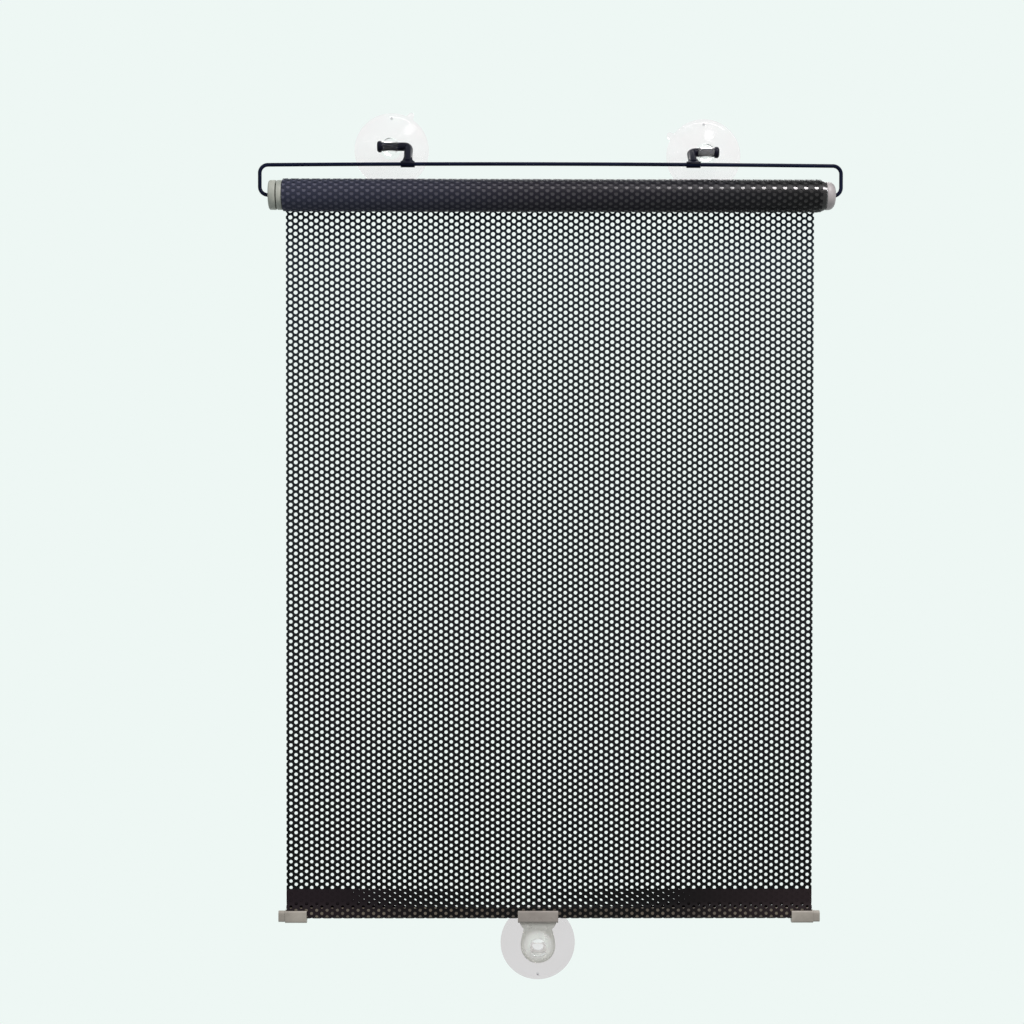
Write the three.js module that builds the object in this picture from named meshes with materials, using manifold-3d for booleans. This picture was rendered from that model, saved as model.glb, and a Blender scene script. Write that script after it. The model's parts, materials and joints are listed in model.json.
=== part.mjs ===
// Spring-roller sunshade for a car side window.
// A perforated film hangs from a spring roller, the roller hangs in a wire bail, and two hooks with suction
// cups hold the bail. A third cup in the pull tab holds the drawn film. Millimetres, +Z up, the room side
// faces -Y and the glass is on +Y.

import * as THREE from 'three';
import { mergeVertices } from 'three/addons/utils/BufferGeometryUtils.js';
import Module from 'manifold-3d';

const wasm = await Module();
wasm.setup();

// Clearances
const seat = 0.3; // between pieces that touch
const groove = 0.8; // between the fixed cap and the turning flange

// Wire bail
const bailWidth = 500; // outside the two legs
const wireDiameter = 3;
const bailRise = 25.6; // roller axis to the wire's top run, at its two ends
const bailCrown = 1.2; // how much higher the middle of the top run is
const bailCorner = 7; // bend radius on the wire's centre line
const wireEntry = 8.5; // how far a bent-in end reaches into its end cap
const socketWall = 2; // between the wire's and the spindle's sockets in the fixed cap

// Roller
const tubeDiameter = 22;
const tubeWall = 1;
const rollDiameter = 27.4; // tube with the wound film
const rollWander = 6; // how much further the tube reaches at the right, where the wound turns have wandered
const outerWander = 5.6; // how far the outermost turn wanders past the film's right edge
const leftCapGap = 9.4; // outside of the bail to the left cap's outer face
const rightCapGap = 7; // outside of the bail to the right cap's outer face
const capDiameter = 25.2;
const capEdge = 1; // chamfer round the fixed cap
const fixedCapLength = 6;
const flangeLength = 4.5;
const flangeEdge = 0.5;
const plugLength = 15; // inside the tube
const journalDiameter = 12;
const journalLength = 14;
const noseWidth = 23.8; // wide end of the right plug's cone
const noseDiameter = 13; // small end of the cone
const noseFlange = 2.2; // straight length before the cone

// Return spring
const spindleDiameter = 6;
const spindleTip = 4;
const springLength = 165;
const springTurns = 20;
const springCoil = 12; // mean diameter of the coils
const springWire = 1.4;
const collarLength = 3;
const anchorLength = 12;

// Film
const filmInset = 0.8; // tube's left end to the film's edge
const filmThickness = 0.3;
const drop = 598.4; // roller axis to the top of the hem, with the film half drawn
const hemHeight = 26;
const hemClosing = 5.5; // length over which the hem's two layers open round the bar
const holePitch = 89.7; // along a row, ten times the real 8.97
const rowPitch = 28.15; // between staggered rows, ten times the real 2.815
const holeDiameter = 33;
const edgeMargin = 3;

// Hem bar and its end clips
const barHeight = 9;
const barThickness = 3.2;
const clipLength = 24.5;
const clipHeight = 10.9;
const clipDepth = 7;
const clipOverhang = 6.8; // past the film's side edge
const clipNose = 0.7; // how much slimmer the closed nose is, all round
const clipFloor = 3; // under the hem
const clipRound = 2; // corner radius of a clip's section
const clipOverlap = 0.5; // how far the closed nose starts past the film's edge

// Pull tab
const tabPlace = -9.8; // across the shade, from its middle
const tabClipWidth = 35;
const tabNeckWidth = 23;
const tabWidth = 30;
const tabRim = 2.8;
const tabRimThickness = 3;
const tabWeb = 1.4;
const tabCupDrop = 23.6; // hem's lower edge to the cup's axis
const tabShoulderDrop = 2; // hem's lower edge to where the clip starts to taper
const tabNeckDrop = 9.5; // hem's lower edge to where the taper has reached the neck's width
const tabShoulderInset = 1.5;
const tabTongueStart = 4.5; // hem's lower edge to the top of the tongue's rim
const tabEggRise = 8; // height of the tongue's round end, above the cup's axis

// Suction cups
const cupDiameter = 65;
const cupDepth = 11.5; // lip to the neck
const lipWidth = 3;
const neckLength = 2.2;
const neckDiameter = 8.4;
const neckFlare = 2.6; // how much wider the dome starts than the neck, all round
const crownThickness = 4.2; // behind the neck
const rimThickness = 1.1; // of the dome at the lip
const knobDiameter = 14.5;
const knobLength = 12;
const knobFace = 3; // how much smaller the knob's flat face is, all round
const knobRound = 2.6; // depth of the rounding at the face
const knobBack = 2.2; // the same at the neck
const pinHole = 8.1;
const tabLength = 5; // release tab outside the lip
const tabThickness = 1;
const releaseHalf = 4; // half the release tab's width at the lip
const releaseEnd = 2.6; // radius of its round end
const releaseRoot = 2.5; // how far it reaches into the lip

// Hooks
const hookReach = 26; // wire axis to the pin's axis
const hookRod = 7.5;
const hookHead = 9.8;
const hookHeadLength = 3.8;
const hookHeadEdge = 0.4;
const hookHeadRound = 1.2;
const hookBend = 4.2;
const clipGrip = 2.7; // outer radius of the foot round the wire
const footWidth = 12;
const footFlare = 6; // height over which the arm widens into the foot
const footMouth = 105; // degrees of the foot that are open
// place: the cup's middle across the shade; offset: from there to the arm; tilt: back from upright, degrees
const leftHook = { place: -138.2, offset: 15.9, tilt: 45, side: -1, cupTurn: 29 };
const rightHook = { place: 135.2, offset: 13, tilt: 56, side: 1, cupTurn: -58 };

// Facets
const roundSides = 32;
const wireSides = 10;
const cupSides = 30;

// Places worked out from the sizes above
const legPlace = bailWidth / 2 - wireDiameter / 2;
const leftCapFace = bailWidth / 2 - leftCapGap;
const rightCapFace = bailWidth / 2 - rightCapGap;
const wireTip = rightCapFace - wireEntry;
const flangeFace = leftCapFace - fixedCapLength - groove;
const tubeLeft = flangeFace - flangeLength - seat;
const noseStart = tubeLeft + rollWander + seat;
const filmWidth = 2 * (tubeLeft - filmInset);
const tubeBore = tubeDiameter - 2 * tubeWall;
const plugDiameter = tubeBore - 2 * seat;
const filmPlane = rollDiameter / 2 + seat + filmThickness / 2;
const hemBottom = -drop - hemHeight;
const barMiddle = hemBottom + filmThickness + seat + barHeight / 2;
const cupAxis = knobLength / 2 + neckLength + cupDepth; // lip to the pin hole's axis
const lipPlane = (hook) => hookReach * Math.sin(THREE.MathUtils.degToRad(hook.tilt)) + cupAxis;
const pinHeight = (hook) => wireTopAt(armPlace(hook)) + hookReach * Math.cos(THREE.MathUtils.degToRad(hook.tilt));
const glassPlane = (lipPlane(leftHook) + lipPlane(rightHook)) / 2;
const holdHeight = (pinHeight(leftHook) + pinHeight(rightHook)) / 2;

// Height of the bail's top run, which is bowed a little upwards
function wireTopAt(x) {
  const half = legPlace - bailCorner;
  return bailRise + bailCrown * (1 - (x / half) ** 2);
}

function armPlace(hook) {
  return hook.place - hook.side * hook.offset;
}

// Looks
const looks = {
  film: { color: 0x24242c, roughness: 0.45, metalness: 0 },
  wire: { color: 0x1c1e2b, roughness: 0.4, metalness: 0.5 },
  cap: { color: 0xa3a39b, roughness: 0.5, metalness: 0 },
  clip: { color: 0x9c938c, roughness: 0.5, metalness: 0 },
  bar: { color: 0x3b3229, roughness: 0.4, metalness: 0 },
  tab: { color: 0x8f8a7e, roughness: 0.4, metalness: 0, transparent: true, opacity: 0.85 },
  hook: { color: 0x17171a, roughness: 0.4, metalness: 0 },
  cup: { color: 0xe3e6e4, roughness: 0.15, metalness: 0, transparent: true, opacity: 0.35 },
  steel: { color: 0x8b8f94, roughness: 0.35, metalness: 0.9 },
  tube: { color: 0xb9bcc0, roughness: 0.4, metalness: 0.8 },
};

function piece(name, geometry, look) {
  const mesh = new THREE.Mesh(geometry, new THREE.MeshStandardMaterial(looks[look]));
  mesh.name = name;
  return mesh;
}

// Solids for joining and cutting
function solidOf(geometry) {
  const bare = geometry.clone();
  bare.deleteAttribute('normal');
  bare.deleteAttribute('uv');
  const merged = mergeVertices(bare, 1e-4);
  const corners = [];
  for (let i = 0; i < merged.index.count; i += 3) {
    const [a, b, c] = [0, 1, 2].map((k) => merged.index.getX(i + k));
    if (a !== b && b !== c && c !== a) corners.push(a, b, c);
  }
  const vertProperties = new Float32Array(merged.attributes.position.array);
  return new wasm.Manifold(new wasm.Mesh({ numProp: 3, vertProperties, triVerts: new Uint32Array(corners) }));
}

function geometryOf(solid) {
  const { vertProperties, triVerts } = solid.getMesh();
  const geometry = new THREE.BufferGeometry();
  geometry.setAttribute('position', new THREE.BufferAttribute(vertProperties, 3));
  geometry.setIndex(new THREE.BufferAttribute(triVerts, 1));
  geometry.computeVertexNormals();
  return geometry;
}

// A turned piece. The profile lists [along, radius] and runs round the section clockwise, seen with the
// axis to the right.
function turned(profile, axis, sides = roundSides) {
  const points = profile.map(([along, radius]) => new THREE.Vector2(radius, along));
  const geometry = new THREE.LatheGeometry(points, sides);
  return axis === 'x' ? geometry.rotateZ(-Math.PI / 2) : geometry;
}

function ring(profile, axis, sides) {
  return turned([...profile, profile[0]], axis, sides);
}

const alongX = new THREE.Matrix4().makeBasis(
  new THREE.Vector3(0, 1, 0),
  new THREE.Vector3(0, 0, 1),
  new THREE.Vector3(1, 0, 0),
);
const alongY = new THREE.Matrix4().makeBasis(
  new THREE.Vector3(1, 0, 0),
  new THREE.Vector3(0, 0, 1),
  new THREE.Vector3(0, -1, 0),
);

// A section drawn in Y and Z, run along X between two places
function runX(shape, from, to, curveSegments = 5) {
  const geometry = new THREE.ExtrudeGeometry(shape, { depth: to - from, bevelEnabled: false, curveSegments });
  return geometry.applyMatrix4(alongX).translate(from, 0, 0);
}

// An outline drawn in X and Z, given a thickness in Y with its middle at the place given
function plate(shape, middle, thickness, curveSegments = 9) {
  const options = { depth: thickness, bevelEnabled: false, curveSegments };
  return new THREE.ExtrudeGeometry(shape, options).applyMatrix4(alongY).translate(0, middle + thickness / 2, 0);
}

function roundedBox(width, height, radius, Outline = THREE.Shape) {
  const [w, h] = [width / 2, height / 2];
  const outline = new Outline();
  outline.moveTo(-w + radius, -h);
  outline.lineTo(w - radius, -h);
  outline.absarc(w - radius, -h + radius, radius, -Math.PI / 2, 0);
  outline.lineTo(w, h - radius);
  outline.absarc(w - radius, h - radius, radius, 0, Math.PI / 2);
  outline.lineTo(-w + radius, h);
  outline.absarc(-w + radius, h - radius, radius, Math.PI / 2, Math.PI);
  outline.lineTo(-w, -h + radius);
  outline.absarc(-w + radius, -h + radius, radius, Math.PI, Math.PI * 1.5);
  return outline;
}

// A rod through a list of points, with one step for each point
class Route extends THREE.Curve {
  constructor(points) {
    super();
    this.points = points;
  }

  getUtoTmapping(u) {
    return u;
  }

  getPoint(t) {
    const last = this.points.length - 1;
    const i = Math.min(Math.floor(t * last + 1e-9), last - 1);
    return this.points[i].clone().lerp(this.points[i + 1], t * last - i);
  }

  getTangent(t) {
    const last = this.points.length - 1;
    const i = Math.round(t * last);
    const before = this.points[Math.max(i, 1)].clone().sub(this.points[Math.max(i, 1) - 1]);
    const after = this.points[Math.min(i, last - 1) + 1].clone().sub(this.points[Math.min(i, last - 1)]);
    return before.normalize().add(after.normalize()).normalize();
  }
}

function rod(points, diameter, sides) {
  const section = new THREE.Shape();
  for (let i = 0; i < sides; i += 1) {
    const turn = (i / sides) * Math.PI * 2;
    const [x, y] = [Math.cos(turn) * diameter * 0.5, Math.sin(turn) * diameter * 0.5];
    if (i === 0) section.moveTo(x, y);
    else section.lineTo(x, y);
  }
  return new THREE.ExtrudeGeometry(section, { steps: points.length - 1, extrudePath: new Route(points) });
}

// Points on an arc in the X-Z plane, from one angle to another
function arc(centreX, centreZ, radius, from, to, steps = 6) {
  return Array.from({ length: steps + 1 }, (_, i) => {
    const angle = THREE.MathUtils.degToRad(from + ((to - from) * i) / steps);
    return new THREE.Vector3(centreX + radius * Math.cos(angle), 0, centreZ + radius * Math.sin(angle));
  });
}

// The bail: a top run, two legs, and ends bent in to carry the roller
function wireBail() {
  const cornerPlace = legPlace - bailCorner;
  const right = [
    ...arc(cornerPlace, wireTopAt(cornerPlace) - bailCorner, bailCorner, 90, 0),
    ...arc(cornerPlace, bailCorner, bailCorner, 0, -90),
    new THREE.Vector3(wireTip, 0, 0),
  ];
  const crownSteps = 8;
  const top = [];
  for (let i = 1; i < crownSteps; i += 1) {
    const x = -cornerPlace + (2 * cornerPlace * i) / crownSteps;
    top.push(new THREE.Vector3(x, 0, wireTopAt(x)));
  }
  const left = right.map((p) => new THREE.Vector3(-p.x, p.y, p.z)).reverse();
  return rod([...left, ...top, ...right], wireDiameter, wireSides);
}

// The cap that stays still: a disc, a journal for the turning plug, and sockets for the wire and the spindle
function springCap() {
  const outer = -leftCapFace;
  const shoulder = outer + fixedCapLength;
  const r = capDiameter / 2;
  const wireSocket = wireDiameter / 2 + seat;
  const spindleSocket = spindleDiameter / 2 + seat;
  return turned([
    [-wireTip + seat, 0],
    [-wireTip + seat, wireSocket],
    [outer, wireSocket],
    [outer, r - capEdge],
    [outer + capEdge, r],
    [shoulder, r],
    [shoulder, journalDiameter / 2],
    [shoulder + journalLength, journalDiameter / 2],
    [shoulder + journalLength, spindleSocket],
    [-wireTip + socketWall, spindleSocket],
    [-wireTip + socketWall, 0],
  ], 'x');
}

const spindleStart = -wireTip + socketWall + seat;
const collarPlace = -leftCapFace + fixedCapLength + journalLength + plugLength / 2;
const springStart = collarPlace + collarLength + seat;
const anchorPlace = springStart + springLength + seat;

// The spindle stands still in the cap's socket. Its collar holds the spring's first coil, and its tip
// steadies the anchor, which turns on it.
function springSpindle() {
  const r = spindleDiameter / 2;
  const collar = springCoil / 2 + springWire;
  const end = anchorPlace - seat;
  const tipEnd = anchorPlace + anchorLength + spindleTip / 2;
  return turned([
    [spindleStart, 0],
    [spindleStart, r],
    [collarPlace, r],
    [collarPlace, collar],
    [collarPlace + collarLength, collar],
    [collarPlace + collarLength, r],
    [end, r],
    [end, spindleTip / 2],
    [tipEnd, spindleTip / 2],
    [tipEnd, 0],
  ], 'x', 20);
}

function torsionSpring() {
  const stepsPerTurn = 8;
  const steps = springTurns * stepsPerTurn;
  const travel = springLength - springWire;
  const points = Array.from({ length: steps + 1 }, (_, i) => {
    const angle = (i / stepsPerTurn) * Math.PI * 2;
    const x = springStart + springWire / 2 + (travel * i) / steps;
    return new THREE.Vector3(x, (Math.cos(angle) * springCoil) / 2, (Math.sin(angle) * springCoil) / 2);
  });
  return rod(points, springWire, 5);
}

// The anchor is fast in the tube and takes the spring's far end
function springAnchor() {
  const [r, bore] = [plugDiameter / 2, spindleTip / 2 + seat];
  return ring([
    [anchorPlace, bore],
    [anchorPlace, r - capEdge],
    [anchorPlace + capEdge, r],
    [anchorPlace + anchorLength, r],
    [anchorPlace + anchorLength, bore],
  ], 'x', 24);
}

// Left plug: a flange outside the tube and a sleeve inside it, which turns on the fixed cap's journal
function leftPlug() {
  const outer = -flangeFace;
  const shoulder = outer + flangeLength;
  const [r, bore] = [capDiameter / 2, journalDiameter / 2 + seat];
  return ring([
    [outer, bore],
    [outer, r - flangeEdge],
    [outer + flangeEdge, r],
    [shoulder, r],
    [shoulder, plugDiameter / 2],
    [shoulder + plugLength, plugDiameter / 2],
    [shoulder + plugLength, bore],
  ], 'x');
}

// Right plug: a rounded cone outside the tube and a sleeve inside it, which turns on the wire's end
function rightPlug() {
  const bore = wireDiameter / 2 + seat;
  const [r, small] = [noseWidth / 2, noseDiameter / 2];
  const coneStart = noseStart + noseFlange;
  const coneSteps = 6;
  const cone = Array.from({ length: coneSteps + 1 }, (_, i) => {
    const turn = (i / coneSteps) * (Math.PI / 2);
    return [coneStart + (rightCapFace - coneStart) * Math.sin(turn), small + (r - small) * Math.cos(turn)];
  });
  return ring([
    [noseStart - plugLength, bore],
    [noseStart - plugLength, plugDiameter / 2],
    [noseStart, plugDiameter / 2],
    [noseStart, r],
    ...cone,
    [rightCapFace, bore],
  ], 'x');
}

function rollerTube() {
  const right = noseStart - seat;
  return ring([
    [-tubeLeft, tubeBore / 2],
    [-tubeLeft, tubeDiameter / 2],
    [right, tubeDiameter / 2],
    [right, tubeBore / 2],
  ], 'x');
}

// The wound film. Its turns wander towards both caps, the innermost furthest, so their edges show as steps.
function filmRoll() {
  const inner = tubeDiameter / 2 + seat;
  const outer = rollDiameter / 2;
  const turns = 4;
  const leftReach = tubeLeft - seat - filmWidth / 2;
  const rightReach = noseStart - seat - filmWidth / 2 - outerWander;
  const edges = Array.from({ length: turns }, (_, i) => ({
    from: inner + ((outer - inner) * i) / turns,
    to: inner + ((outer - inner) * (i + 1)) / turns,
    share: 1 - (i / (turns - 1)) ** 2,
  }));
  const left = edges.flatMap(({ from, to, share }) => {
    const x = -filmWidth / 2 - leftReach * share;
    return [[x, from], [x, to]];
  });
  const right = edges.flatMap(({ from, to, share }) => {
    const x = filmWidth / 2 + outerWander + rightReach * share;
    return [[x, from], [x, to]];
  });
  return ring([...left, ...right.reverse()], 'x', 40);
}

// The hanging film, with its staggered holes drawn ten times as large as they are
function filmSheet() {
  const [w, top, bottom] = [filmWidth / 2, 0, -drop + seat];
  const outline = new THREE.Shape([
    new THREE.Vector2(-w, bottom),
    new THREE.Vector2(w, bottom),
    new THREE.Vector2(w, top),
    new THREE.Vector2(-w, top),
  ]);
  const clear = holeDiameter / 2 + edgeMargin;
  const rows = Math.floor((top - bottom - 2 * clear) / rowPitch) + 1;
  const firstRow = (top + bottom) / 2 - ((rows - 1) * rowPitch) / 2;
  const reach = w - clear;
  for (let row = 0; row < rows; row += 1) {
    const shift = row % 2 ? holePitch / 2 : 0;
    const copies = Math.floor((reach - shift) / holePitch);
    for (let i = -copies - (row % 2 ? 1 : 0); i <= copies; i += 1) {
      const hole = new THREE.Path();
      hole.absellipse(i * holePitch + shift, firstRow + row * rowPitch, holeDiameter / 2, holeDiameter / 2,
        0, Math.PI * 2, true);
      outline.holes.push(hole);
    }
  }
  return plate(outline, filmPlane, filmThickness, 4);
}

// Outline of the hem in Y and Z: two layers of film above, which open round the bar below
function hemOutline(grow, Outline) {
  const halfFlat = filmThickness + grow;
  const halfFull = barThickness / 2 + filmThickness + seat + grow;
  const bottom = hemBottom - grow;
  const shoulder = barMiddle + barHeight / 2 - 1 + grow;
  const neck = shoulder + hemClosing;
  const [upperPull, lowerPull] = [neck - 0.55 * hemClosing, shoulder + 0.4 * hemClosing];
  const outline = new Outline();
  outline.moveTo(-halfFlat, -drop + grow);
  outline.lineTo(-halfFlat, neck);
  outline.bezierCurveTo(-halfFlat, upperPull, -halfFull, lowerPull, -halfFull, shoulder);
  outline.lineTo(-halfFull, bottom + halfFull);
  outline.absarc(0, bottom + halfFull, halfFull, Math.PI, Math.PI * 2);
  outline.lineTo(halfFull, shoulder);
  outline.bezierCurveTo(halfFull, lowerPull, halfFlat, upperPull, halfFlat, neck);
  outline.lineTo(halfFlat, -drop + grow);
  return outline;
}

// The hem's own middle plane is half a film behind the sheet's, so that the sheet runs on into its front layer
const hemPlane = filmPlane + filmThickness / 2;

function filmHem() {
  const outline = hemOutline(0, THREE.Shape);
  const pocket = roundedBox(barThickness + 2 * seat, barHeight + 2 * seat, barThickness / 2, THREE.Path);
  const holes = pocket.getPoints(6).map((p) => new THREE.Vector2(p.x, p.y + barMiddle));
  outline.holes.push(new THREE.Path(holes));
  return runX(outline, -filmWidth / 2, filmWidth / 2).translate(0, hemPlane, 0);
}

function hemBar() {
  const section = roundedBox(barThickness, barHeight, barThickness / 2 - 0.1);
  const half = filmWidth / 2 - seat;
  return runX(section, -half, half).translate(0, hemPlane, barMiddle);
}

const sleeveMiddle = hemBottom - seat - clipFloor + clipHeight / 2;

// A sleeve that snaps over the hem: rounded outside, the hem's own form inside, and a slot at its top edge
function hemSleeve(from, to, openFrom, openTo) {
  const section = roundedBox(clipDepth, clipHeight, clipRound);
  const outside = solidOf(runX(section, from, to).translate(0, 0, sleeveMiddle));
  const inside = solidOf(runX(hemOutline(seat, THREE.Shape), openFrom, openTo));
  return outside.subtract(inside).translate([0, hemPlane, 0]);
}

// End clip, closed at its outer end by a slimmer nose
function endClip(side) {
  const outer = filmWidth / 2 + clipOverhang;
  const inner = outer - clipLength;
  const closed = filmWidth / 2 + clipOverlap;
  const sleeve = hemSleeve(inner, closed + clipOverlap, inner - 1, filmWidth / 2 + seat);
  const nose = roundedBox(clipDepth - 2 * clipNose, clipHeight - 2 * clipNose, clipRound);
  const tip = solidOf(runX(nose, closed, outer)).translate([0, hemPlane, sleeveMiddle]);
  const clip = sleeve.add(tip);
  return geometryOf(side < 0 ? clip.mirror([1, 0, 0]) : clip);
}

// Pull tab: a sleeve over the hem and a tongue with a thick rim, a thin web and a hole for the cup's neck
const tabCupPlace = hemBottom - tabCupDrop;

function tongue(grow, Outline) {
  const [neck, wide] = [tabNeckWidth / 2 + grow, tabWidth / 2 + grow];
  const top = hemBottom - tabTongueStart;
  const [upperPull, lowerPull] = [hemBottom - tabNeckDrop, tabCupPlace + tabEggRise];
  const outline = new Outline();
  outline.moveTo(-neck, top);
  outline.bezierCurveTo(-neck, upperPull, -wide, lowerPull, -wide, tabCupPlace);
  outline.absarc(0, tabCupPlace, wide, Math.PI, Math.PI * 2);
  outline.bezierCurveTo(wide, lowerPull, neck, upperPull, neck, top);
  return outline;
}

function pullTab() {
  const half = tabClipWidth / 2;
  const sleeve = hemSleeve(-half, half, -half - 1, half + 1);
  const [top, low, corner] = [hemBottom - tabShoulderDrop, hemBottom - tabNeckDrop, half - tabShoulderInset];
  const shoulders = new THREE.Shape();
  shoulders.moveTo(-corner, top);
  shoulders.quadraticCurveTo(-corner, (top + low) / 2, -tabNeckWidth / 2, low);
  shoulders.quadraticCurveTo(0, (top + low) / 2, tabNeckWidth / 2, low);
  shoulders.quadraticCurveTo(corner, (top + low) / 2, corner, top);
  const neck = solidOf(plate(shoulders, hemPlane, tabRimThickness));
  const rim = solidOf(plate(tongue(0, THREE.Shape), hemPlane, tabRimThickness));
  const recess = solidOf(plate(tongue(-tabRim, THREE.Shape), hemPlane, tabRimThickness + 2));
  const web = solidOf(plate(tongue(-tabRim / 2, THREE.Shape), hemPlane, tabWeb));
  const [reach, neckHole] = [tabRimThickness, neckDiameter / 2 + seat];
  const bore = turned([[-reach, 0], [-reach, neckHole], [reach, neckHole], [reach, 0]], 'y', 24);
  const hole = solidOf(bore).translate([0, hemPlane, tabCupPlace]);
  const tab = rim.subtract(recess).add(web).add(neck).add(sleeve).subtract(hole);
  return geometryOf(tab.translate([tabPlace, 0, 0]));
}

// Suction cup: a thin dome with a flat lip, a neck, and a knob with a cross hole for the hook's pin. Its axis
// is Y, with the cross hole's axis at the origin and the lip on the +Y side. The release tab is turned from
// straight up by the degrees given.
function suctionCup(turn) {
  const lip = cupAxis;
  const r = cupDiameter / 2;
  const crown = lip - cupDepth;
  const neckStart = crown - neckLength;
  const knob = knobDiameter / 2;
  const knobFront = neckStart - knobLength;
  const domeStart = neckDiameter / 2 + neckFlare;
  const hollow = crown + crownThickness;
  const domeSteps = 5;
  const inner = r - lipWidth;
  const [outerBend, innerBend] = [1.7, 1.9]; // how late the dome's two faces curve towards the lip
  const outside = Array.from({ length: domeSteps + 1 }, (_, i) => {
    const radius = domeStart + ((r - domeStart) * i) / domeSteps;
    const rise = (radius / r) ** outerBend - (domeStart / r) ** outerBend;
    return [crown + (cupDepth - rimThickness) * (rise / (1 - (domeStart / r) ** outerBend)), radius];
  });
  const inside = Array.from({ length: domeSteps + 1 }, (_, i) => {
    const radius = inner * (1 - i / domeSteps);
    return [hollow + (lip - seat - hollow) * (radius / inner) ** innerBend, radius];
  });
  const body = turned([
    [knobFront, 0],
    [knobFront, knob - knobFace],
    [knobFront + knobRound * 0.35, knob - knobFace * 0.35],
    [knobFront + knobRound, knob],
    [neckStart - knobBack, knob],
    [neckStart - knobBack * 0.3, knob - knobBack * 0.35],
    [neckStart, knob - knobBack],
    [neckStart, neckDiameter / 2],
    [crown, neckDiameter / 2],
    ...outside,
    [lip, r],
    [lip, inner],
    ...inside,
  ], 'y', cupSides);
  const across = [[-knob - 1, 0], [-knob - 1, pinHole / 2], [knob + 1, pinHole / 2], [knob + 1, 0]];
  const release = new THREE.Shape();
  release.moveTo(-releaseHalf, r - releaseRoot);
  release.lineTo(releaseHalf, r - releaseRoot);
  release.lineTo(releaseEnd, r + tabLength - releaseEnd);
  release.absarc(0, r + tabLength - releaseEnd, releaseEnd, 0, Math.PI);
  const tab = solidOf(plate(release, lip - rimThickness / 2 - seat / 2, tabThickness, 6));
  const cup = solidOf(body).add(tab.rotate([0, turn, 0])).subtract(solidOf(turned(across, 'x', 24)));
  return geometryOf(cup);
}

// Hook: a headed pin along X through the cup's knob, an arm down to the wire, and a foot that snaps on the
// wire. Its origin is on the wire's axis, under the arm, and the pin is straight above it.
function hookBody({ side, offset }) {
  const headStart = offset + knobDiameter / 2 + seat;
  const headEnd = headStart + hookHeadLength;
  const start = side * (headEnd - hookHeadRound);
  const bend = arc(side * hookBend, hookReach - hookBend, hookBend, 90, side > 0 ? 180 : 0, 6);
  const bore = wireDiameter / 2 + seat;
  const armEnd = new THREE.Vector3(0, 0, (bore + clipGrip) / 2);
  const arm = solidOf(rod([new THREE.Vector3(start, 0, hookReach), ...bend, armEnd], hookRod, 16));
  const r = hookHead / 2;
  const head = turned([
    [headStart, 0],
    [headStart, r - hookHeadEdge],
    [headStart + hookHeadEdge, r],
    [headEnd - hookHeadRound, r],
    [headEnd, r - hookHeadRound],
    [headEnd, 0],
  ], 'x', 20).translate(0, 0, hookReach);
  const headSolid = side < 0 ? solidOf(head).mirror([1, 0, 0]) : solidOf(head);
  const half = footWidth / 2;
  const grip = solidOf(turned([[-half, 0], [-half, clipGrip], [half, clipGrip], [half, 0]], 'x', 20));
  const flare = new THREE.Shape();
  flare.moveTo(-half, 0);
  flare.lineTo(half, 0);
  flare.quadraticCurveTo(hookRod / 2, footFlare / 3, hookRod / 2, footFlare);
  flare.lineTo(-hookRod / 2, footFlare);
  flare.quadraticCurveTo(-hookRod / 2, footFlare / 3, -half, 0);
  const foot = grip.add(solidOf(plate(flare, 0, 2 * clipGrip)));
  const wireHole = turned([[-footWidth, 0], [-footWidth, bore], [footWidth, bore], [footWidth, 0]], 'x', 20);
  const halfMouth = THREE.MathUtils.degToRad(footMouth / 2);
  const far = clipGrip * 2;
  const mouth = new THREE.Shape([
    new THREE.Vector2(0, 0),
    new THREE.Vector2(-far * Math.sin(halfMouth), -far * Math.cos(halfMouth)),
    new THREE.Vector2(far * Math.sin(halfMouth), -far * Math.cos(halfMouth)),
  ]);
  const cut = solidOf(wireHole).add(solidOf(runX(mouth, -footWidth, footWidth)));
  return geometryOf(arm.add(headSolid).add(foot).subtract(cut));
}

// A hook turned back about the wire, with its cup on its pin and the cup's lip parallel to the glass
function hookWithCup(name, place) {
  const turn = -THREE.MathUtils.degToRad(place.tilt);
  const hookMesh = piece(`hook_${name}`, hookBody(place), 'hook');
  hookMesh.position.set(armPlace(place), 0, wireTopAt(armPlace(place)));
  hookMesh.rotation.x = turn;
  const cupMesh = piece(`cup_${name}`, suctionCup(place.cupTurn), 'cup');
  cupMesh.position.set(place.place, lipPlane(place) - cupAxis, pinHeight(place));
  return [hookMesh, cupMesh];
}

function bottomCup() {
  const cup = piece('cup_bottom', suctionCup(0), 'cup');
  cup.position.set(tabPlace, hemPlane - (knobLength + neckLength) / 2, tabCupPlace);
  return cup;
}

const shade = new THREE.Group();
shade.add(
  piece('wire_bail', wireBail(), 'wire'),
  piece('spring_cap', springCap(), 'cap'),
  piece('spring_spindle', springSpindle(), 'cap'),
  piece('torsion_spring', torsionSpring(), 'steel'),
  piece('spring_anchor', springAnchor(), 'cap'),
  piece('tube_plug_left', leftPlug(), 'cap'),
  piece('tube_plug_right', rightPlug(), 'cap'),
  piece('roller_tube', rollerTube(), 'tube'),
  piece('film_roll', filmRoll(), 'film'),
  piece('film_sheet', filmSheet(), 'film'),
  piece('film_hem', filmHem(), 'film'),
  piece('hem_bar', hemBar(), 'bar'),
  piece('end_clip_left', endClip(-1), 'clip'),
  piece('end_clip_right', endClip(1), 'clip'),
  piece('pull_tab', pullTab(), 'tab'),
  bottomCup(),
  ...hookWithCup('left', leftHook),
  ...hookWithCup('right', rightHook),
);

// The origin is the point on the glass behind the middle of the shade, at the mean height of the upper cups
shade.position.set(0, -glassPlane, -holdHeight);

const sunshade = new THREE.Group();
sunshade.add(shade);

export default sunshade;
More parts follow.
